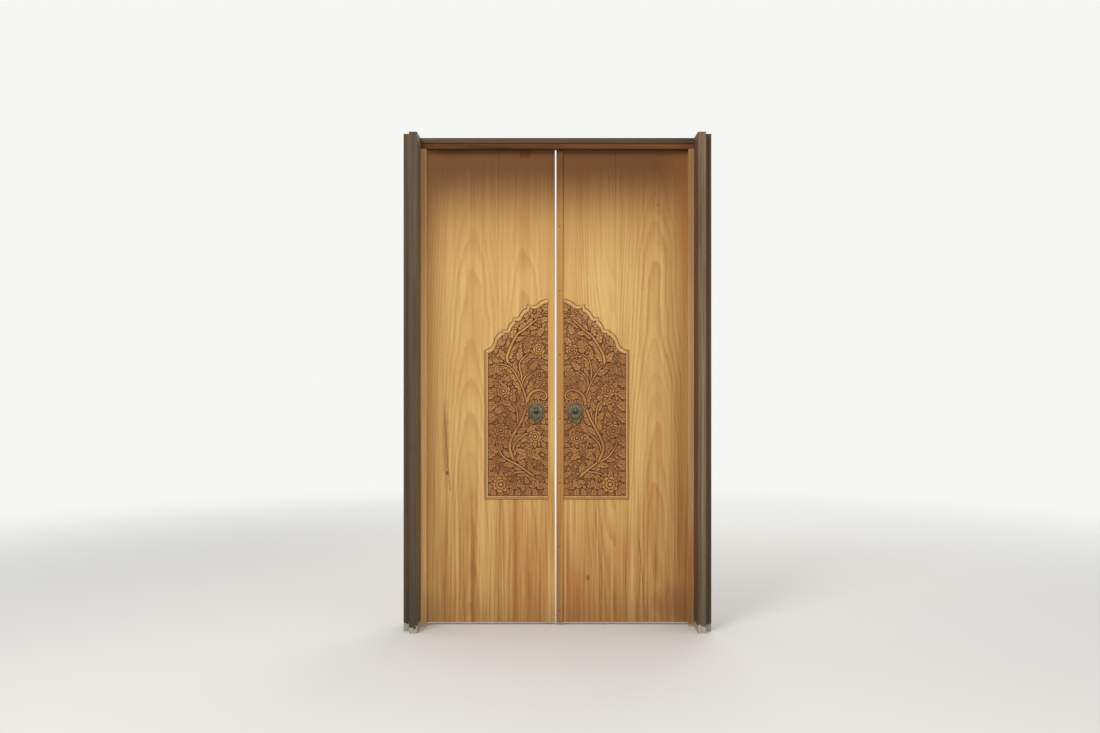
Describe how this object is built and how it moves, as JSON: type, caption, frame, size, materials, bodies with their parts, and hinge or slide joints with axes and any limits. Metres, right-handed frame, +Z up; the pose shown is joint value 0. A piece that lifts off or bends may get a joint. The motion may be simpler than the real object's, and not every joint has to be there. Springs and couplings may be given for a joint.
{
  "type": "carved double temple door",
  "caption": "Tall double door of wide wooden boards in its rebated frame, with floral carved panels under a scalloped top, a meeting strip and ring pulls.",
  "frame": {"origin": "on the floor, in the middle of the width and the depth of the whole door with its frame", "axes": "+Z up, +X to the right as seen from the front, -Y out of the carved front"},
  "size_m": [1.526, 0.266, 2.465],
  "materials": {
    "board_wood": "oiled",
    "carved_wood": "oiled, dusty",
    "frame_wood": "oiled",
    "dark_wood": "weathered",
    "hinge_iron": "dull",
    "bolt_iron": "dull",
    "nail_iron": "dull",
    "pull_bronze": "patinated"
  },
  "bodies": {
    "frame": {"frame_pegs": "frame_wood", "head": "frame_wood", "head_strip": "dark_wood", "left_cover_strip": "dark_wood", "left_hinge_1_frame_flap": "hinge_iron", "left_hinge_2_frame_flap": "hinge_iron", "left_hinge_3_frame_flap": "hinge_iron", "left_jamb": "frame_wood", "left_post": "dark_wood", "right_cover_strip": "dark_wood", "right_hinge_1_frame_flap": "hinge_iron", "right_hinge_2_frame_flap": "hinge_iron", "right_hinge_3_frame_flap": "hinge_iron", "right_jamb": "frame_wood", "right_post": "dark_wood", "top_bolt_keep": "bolt_iron"},
    "left_leaf": {"bottom_bolt_plate": "bolt_iron", "left_carved_panel": "carved_wood", "left_hinge_1_leaf_flap": "hinge_iron", "left_hinge_2_leaf_flap": "hinge_iron", "left_hinge_3_leaf_flap": "hinge_iron", "left_inner_board": "board_wood", "left_outer_board": "board_wood", "left_pull_pin": "pull_bronze", "left_pull_plate": "pull_bronze", "left_pull_washer": "bolt_iron", "middle_bolt_keep": "bolt_iron", "top_bolt_plate": "bolt_iron"},
    "right_leaf": {"meeting_strip": "board_wood", "meeting_strip_nails": "nail_iron", "middle_bolt_plate": "bolt_iron", "right_carved_panel": "carved_wood", "right_hinge_1_leaf_flap": "hinge_iron", "right_hinge_2_leaf_flap": "hinge_iron", "right_hinge_3_leaf_flap": "hinge_iron", "right_inner_board": "board_wood", "right_outer_board": "board_wood", "right_pull_pin": "pull_bronze", "right_pull_plate": "pull_bronze", "right_pull_washer": "bolt_iron"},
    "bottom_bolt": {"bottom_bolt_rod": "bolt_iron"},
    "left_ring": {"left_pull_ring": "pull_bronze"},
    "middle_bolt": {"middle_bolt_rod": "bolt_iron"},
    "right_ring": {"right_pull_ring": "pull_bronze"},
    "top_bolt": {"top_bolt_rod": "bolt_iron"}
  },
  "joints": [
    {"name": "left_leaf_swing", "type": "hinge", "parent": "frame", "child": "left_leaf", "pos_m": [-0.6765, 0.108, 0], "axis": [0, 0, 1], "range_deg": [0, 95]},
    {"name": "right_leaf_swing", "type": "hinge", "parent": "frame", "child": "right_leaf", "pos_m": [0.6765, 0.108, 0], "axis": [0, 0, -1], "range_deg": [0, 95]},
    {"name": "left_ring_swing", "type": "hinge", "parent": "left_leaf", "child": "left_ring", "pos_m": [-0.107, 0.04715, 1.092], "axis": [-1, 0, 0], "range_deg": [0, 160]},
    {"name": "right_ring_swing", "type": "hinge", "parent": "right_leaf", "child": "right_ring", "pos_m": [0.091, 0.04715, 1.092], "axis": [-1, 0, 0], "range_deg": [0, 160]},
    {"name": "top_bolt_slide", "type": "slide", "parent": "left_leaf", "child": "top_bolt", "axis": [0, 0, 1], "range_m": [0, 0.036]},
    {"name": "bottom_bolt_slide", "type": "slide", "parent": "left_leaf", "child": "bottom_bolt", "axis": [0, 0, -1], "range_m": [0, 0.036]},
    {"name": "middle_bolt_slide", "type": "slide", "parent": "right_leaf", "child": "middle_bolt", "axis": [-1, 0, 0], "range_m": [0, 0.036]}
  ]
}
